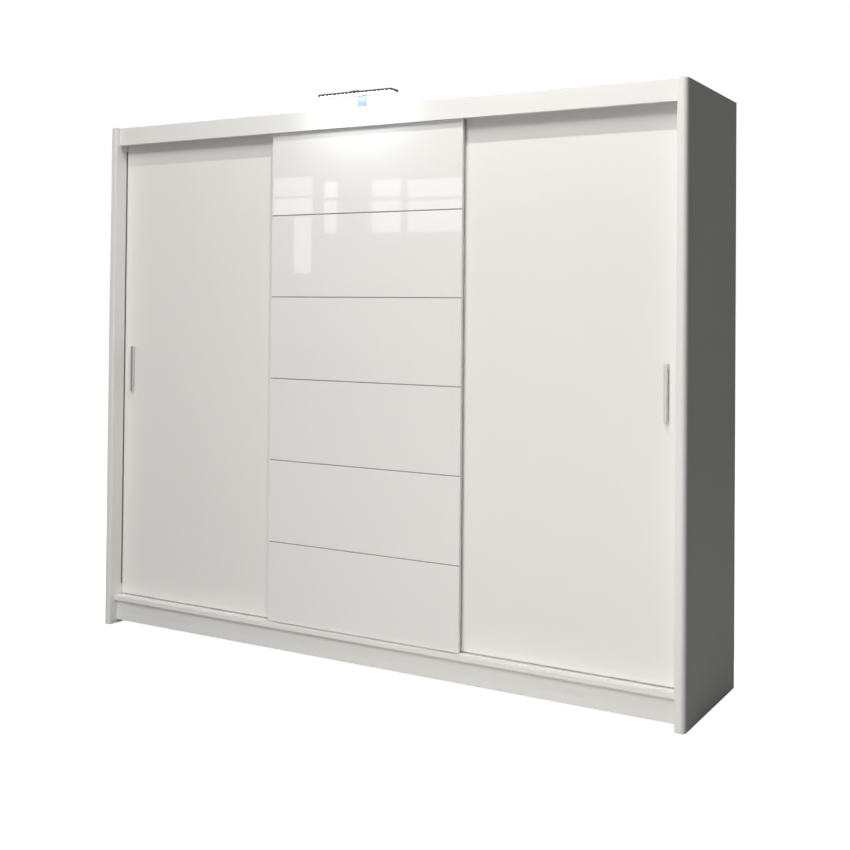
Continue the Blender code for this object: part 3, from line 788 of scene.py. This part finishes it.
LENS_ROUND = 0.8 * MM
LENS_LIGHT = 4
MILK_DARK = (0.86, 0.88, 0.9)
MILK_LIGHT = (0.95, 0.96, 0.97)
GLOW_BETWEEN = (0.80, 0.88, 1.0)
GLOW_UNDER = (1.0, 1.0, 1.0)
lens = Finish("lamp_lens", Roughness=0.3, Emission_Strength=LENS_LIGHT)
milk = lens.blend(lens.noise(200), MILK_DARK, MILK_LIGHT)
lens.feed(lens.shader, {"Base Color": milk})
wave = (lens.coordinate("X") * (2 * math.pi / DIODE_GAP)).sine()
shine = lens.blend(wave * -0.5 + 0.5, GLOW_BETWEEN, GLOW_UNDER)
lens.feed(lens.shader, {"Emission Color": shine})
bar = start_block("lamp_lens_bar", lens_low, lens_high)
pick_edges(bar, lambda middle, line: near(middle.z, lens_low.z))
round_off(LENS_ROUND, segments=3)
finish_piece(bar, lens)
put_on(bar, "lamp_lens", "carcass", "lamp_lens")


# ---- Lamp gland ----
# A soft plastic sleeve in the rear of the body, where the lead comes out. It is waisted so that it
# bends with the lead.

GLAND_X = 60 * MM
GLAND_RADIUS = 3 * MM
GLAND_ROUND = 0.6 * MM
GLAND_WAIST = 0.8
GLAND_CUTS = (0.3, 0.5, 0.7)
gland_length = high.y - low.y - BODY_DEPTH
waist = high.y - gland_length / 2
gland_middle = (GLAND_X, waist, (low.z + high.z) / 2)
gland = round_bar("lamp_gland", gland_middle, GLAND_RADIUS, gland_length, ALONG_Y, sides=32)
for cut in GLAND_CUTS:
    bpy.ops.mesh.select_all(action="SELECT")
    bpy.ops.mesh.bisect(plane_co=(0, high.y - gland_length * cut, 0), plane_no=(0, 1, 0))
pick_edges(gland, lambda middle, line: abs(line.y) < CROSSWISE and near(middle.y, waist))
bpy.ops.transform.resize(value=(GLAND_WAIST, 1, GLAND_WAIST), center_override=gland_middle)
pick_edges(gland, lambda middle, line: abs(line.y) < CROSSWISE and near(middle.y, high.y))
round_off(GLAND_ROUND, segments=2)
finish_piece(gland, grey_plastic)
put_on(gland, "lamp_grey", "carcass")


# ---- Lamp bracket ----
# A flat steel strip, bent twice and chromed. Its foot is screwed to the top board with two screws
# and the body rests on its upper end. Its blue colour is a painted reflection of the lamp's cool
# light, not a colour of its own.

STRIP = 3 * MM
BEND_OUTSIDE = 2.4 * MM
BEND_INSIDE = 0.9 * MM
STRIP_SCREW_SPREAD = 9 * MM
STRIP_SCREW_INSET = 14 * MM
RISER_FRONT = -251.4 * MM
# Painted reflection: the chrome is tinted blue to stand for the lamp's cool light shining in it.
STRIP_PAINTED_LAMP_BLUE = (0.44, 0.60, 0.86)
bracket_chrome_painted_reflection = Finish("bracket_chrome_painted_reflection")
bracket_chrome_painted_reflection.tint(bracket_chrome_painted_reflection.noise(35, detail=3), STRIP_PAINTED_LAMP_BLUE, spread=0.04)
bracket_chrome_painted_reflection.dull(bracket_chrome_painted_reflection.noise(90, detail=4), least=0.36, most=0.48)
bracket_chrome_painted_reflection.feed(bracket_chrome_painted_reflection.shader, {"Metallic": bracket_chrome_painted_reflection.noise(70) * 0.1 + 0.5})
bracket_chrome_painted_reflection.texture(bracket_chrome_painted_reflection.noise(1800, stretch=(1, 1, 0.1)), depth=0.004 * MM)
low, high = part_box("lamp_bracket")
strip = start_block("lamp_strip", (low.x, RISER_FRONT, low.z), (high.x, high.y, low.z + STRIP))
bpy.ops.mesh.select_all(action="SELECT")
bpy.ops.mesh.bisect(plane_co=(0, RISER_FRONT + STRIP, 0), plane_no=(0, 1, 0))
pick_faces(strip, lambda middle, normal: normal.z > ALIGNED and middle.y < RISER_FRONT + STRIP)
extrude((0, 0, high.z - low.z - 2 * STRIP))
extrude((0, 0, STRIP))
pick_faces(strip, lambda middle, normal: normal.y < -ALIGNED and middle.z > high.z - STRIP)
extrude((0, low.y - RISER_FRONT, 0))
for y, z, radius in (
    (RISER_FRONT, low.z, BEND_OUTSIDE),
    (RISER_FRONT + STRIP, high.z, BEND_OUTSIDE),
    (RISER_FRONT + STRIP, low.z + STRIP, BEND_INSIDE),
    (RISER_FRONT, high.z - STRIP, BEND_INSIDE),
):
    pick_edges(
        strip,
        lambda middle, line: abs(line.x) > ALIGNED and near(middle.y, y) and near(middle.z, z),
    )
    round_off(radius, segments=5)
finish_piece(strip, bracket_chrome_painted_reflection)
put_on(strip, "chrome", "carcass", "lamp_bracket")
screws = []
for x in (-STRIP_SCREW_SPREAD, STRIP_SCREW_SPREAD):
    place = (x, high.y - STRIP_SCREW_INSET, low.z + STRIP)
    screws.append(copy_of(head, "strip_screws", place, LOOK_UP))
put_on(joined(screws), "chrome", "carcass")
bpy.data.objects.remove(head)


# ---- Floor ----
# A plain pale floor that fades into the backdrop. It looks white to the camera and throws only a
# little light back on the wardrobe, so that the end panels stay in shade.

FLOOR_SIZE = 60
FLOOR_SHADE = (0.22, 0.22, 0.22)
FLOOR_GLOW = (1, 1, 1)
BLACK = (0, 0, 0)
bpy.ops.object.select_all(action="DESELECT")
bpy.ops.mesh.primitive_plane_add(size=FLOOR_SIZE)
floor = bpy.context.object
floor.name = "floor"
ground = Finish("ground", Base_Color=(*FLOOR_SHADE, 1), Roughness=0.9, Emission_Strength=1)
in_view = ground.node("ShaderNodeLightPath").outputs["Is Camera Ray"]
ground.feed(ground.shader, {"Emission Color": ground.blend(in_view, BLACK, FLOOR_GLOW)})
floor.data.materials.append(ground.material)


# ---- Light ----
# A white room seen from the camera, but dim to everything else, so that the end panels fall into
# soft shade. Softboxes stand high and low in front, behind and on the left, a small lamp high in
# front throws the shadow of the fascia, and narrow cards far off show in the tiles as windows.

ROOM_LIGHT = 0.164
ROOM_TINT = (1, 0.99, 0.97, 1)
WALL_WHITE = (1, 1, 1, 1)
WARM = (1, 0.972, 0.94)
PALE = (0.90, 0.95, 1)
COOL = (0.97, 0.985, 1)
SOFT = (1, 0.985, 0.965)
WINDOW_Y = -7
world = bpy.data.worlds.new("room")
bpy.context.scene.world = world
world.use_nodes = True
air = world.node_tree.nodes
links = world.node_tree.links
dim = air["Background"]
dim.inputs["Color"].default_value = ROOM_TINT
dim.inputs["Strength"].default_value = ROOM_LIGHT
bright = air.new("ShaderNodeBackground")
bright.inputs["Color"].default_value = WALL_WHITE
bright.inputs["Strength"].default_value = 1
path = air.new("ShaderNodeLightPath")
mix = air.new("ShaderNodeMixShader")
links.new(path.outputs["Is Camera Ray"], mix.inputs[0])
links.new(dim.outputs[0], mix.inputs[1])
links.new(bright.outputs[0], mix.inputs[2])
links.new(mix.outputs[0], air["World Output"].inputs[0])


def softbox(name, place, aim, width, height, power, colour, mirrored=True):
    """Hangs up a flat light. Unless it is mirrored, shiny surfaces don't show it."""
    lamp = bpy.data.lights.new(name, "AREA")
    lamp.shape = "RECTANGLE"
    lamp.size, lamp.size_y = width, height
    lamp.energy = power
    lamp.color = colour
    holder = bpy.data.objects.new(name, lamp)
    holder.location = place
    holder.rotation_euler = (Vector(aim) - Vector(place)).to_track_quat("-Z", "Y").to_euler()
    holder.visible_camera = False
    holder.visible_glossy = mirrored
    bpy.context.scene.collection.objects.link(holder)


softbox("high_spot", (0.8, -1.35, 3.9), (0.3, -0.2, 1.0), 0.07, 0.07, 33, WARM)
softbox("far_softbox", (-0.2, -8, 7.4), (0.3, -0.2, 1.0), 2.5, 1.6, 280, WARM)
softbox("high_softbox", (-0.5, -5.5, 7.5), (0, -0.2, 1.0), 2.5, 1.2, 95, WARM)
softbox("low_middle", (-0.4, -3.6, 0.8), (0, 0, 1.0), 1.6, 1.0, 4.5, WARM, False)
softbox("low_right", (0.9, -2.4, 0.35), (1.0, 0, 0.4), 0.6, 0.5, 10.5, WARM, False)
softbox("far_right", (0.95, -5.5, 1.0), (1.1, 0, 1.0), 0.5, 1.8, 10, WARM, False)
softbox("handle_card", (0.05, -3.6, 0.9), (1.1, 0, 1.1), 0.9, 1.2, 5.5, WARM)
softbox("lamp_glow", (-0.02, -0.37, 2.11), (-0.02, -0.2, 1.93), 0.4, 0.05, 0.24, COOL, False)
softbox("back_softbox", (0, 4.6, 2.6), (0, 0.3, 1.0), 2.2, 1.6, 95, SOFT)
softbox("left_softbox", (-4.6, 1.6, 2.4), (-1.25, 0.1, 1.0), 1.2, 1.6, 75, SOFT)
for name, x, z, width, height, power in (
    ("window_1_low", -5.12, 2.41, 0.50, 0.17, 0.5),
    ("window_1_high", -5.12, 2.62, 0.50, 0.20, 0.5),
    ("window_2", -4.99, 2.0, 0.22, 0.60, 0.7),
    ("window_3_low", -4.64, 2.29, 0.16, 0.33, 0.3),
    ("window_3_high", -4.64, 2.57, 0.16, 0.17, 0.2),
    ("window_4_low", -3.96, 2.27, 0.34, 0.32, 0.6),
    ("window_4_high", -3.96, 2.56, 0.34, 0.18, 0.35),
    ("window_5_low", -3.40, 2.26, 0.62, 0.31, 1.0),
    ("window_5_high", -3.40, 2.54, 0.62, 0.18, 0.6),
):
    softbox(name, (x, WINDOW_Y, z), (x, 0, z), width, height, power, PALE)


# ---- Camera ----
# It stands in front of the right end, a little below eye height, and looks almost level. The lens
# is a little longer than normal, and its shift frames the whole wardrobe.

LENS = 51.95
SENSOR = 36
SHIFT = (0.0529, -0.1659)
EYE = (2.446, -4.135, 1.349)
HEADING, TILT, ROLL = 31.26, 91.09, 0.56
FAR = 200
view = bpy.data.cameras.new("view")
view.sensor_width = SENSOR
view.lens = LENS
view.shift_x, view.shift_y = SHIFT
view.clip_end = FAR
viewer = bpy.data.objects.new("view", view)
viewer.location = EYE
turn = Matrix.Identity(4)
for angle, axis in ((HEADING, "Z"), (TILT, "X"), (ROLL, "Z")):
    turn = turn @ Matrix.Rotation(math.radians(angle), 4, axis)
viewer.rotation_euler = turn.to_euler()
bpy.context.scene.collection.objects.link(viewer)
bpy.context.scene.camera = viewer
bpy.context.scene.view_settings.view_transform = "Standard"
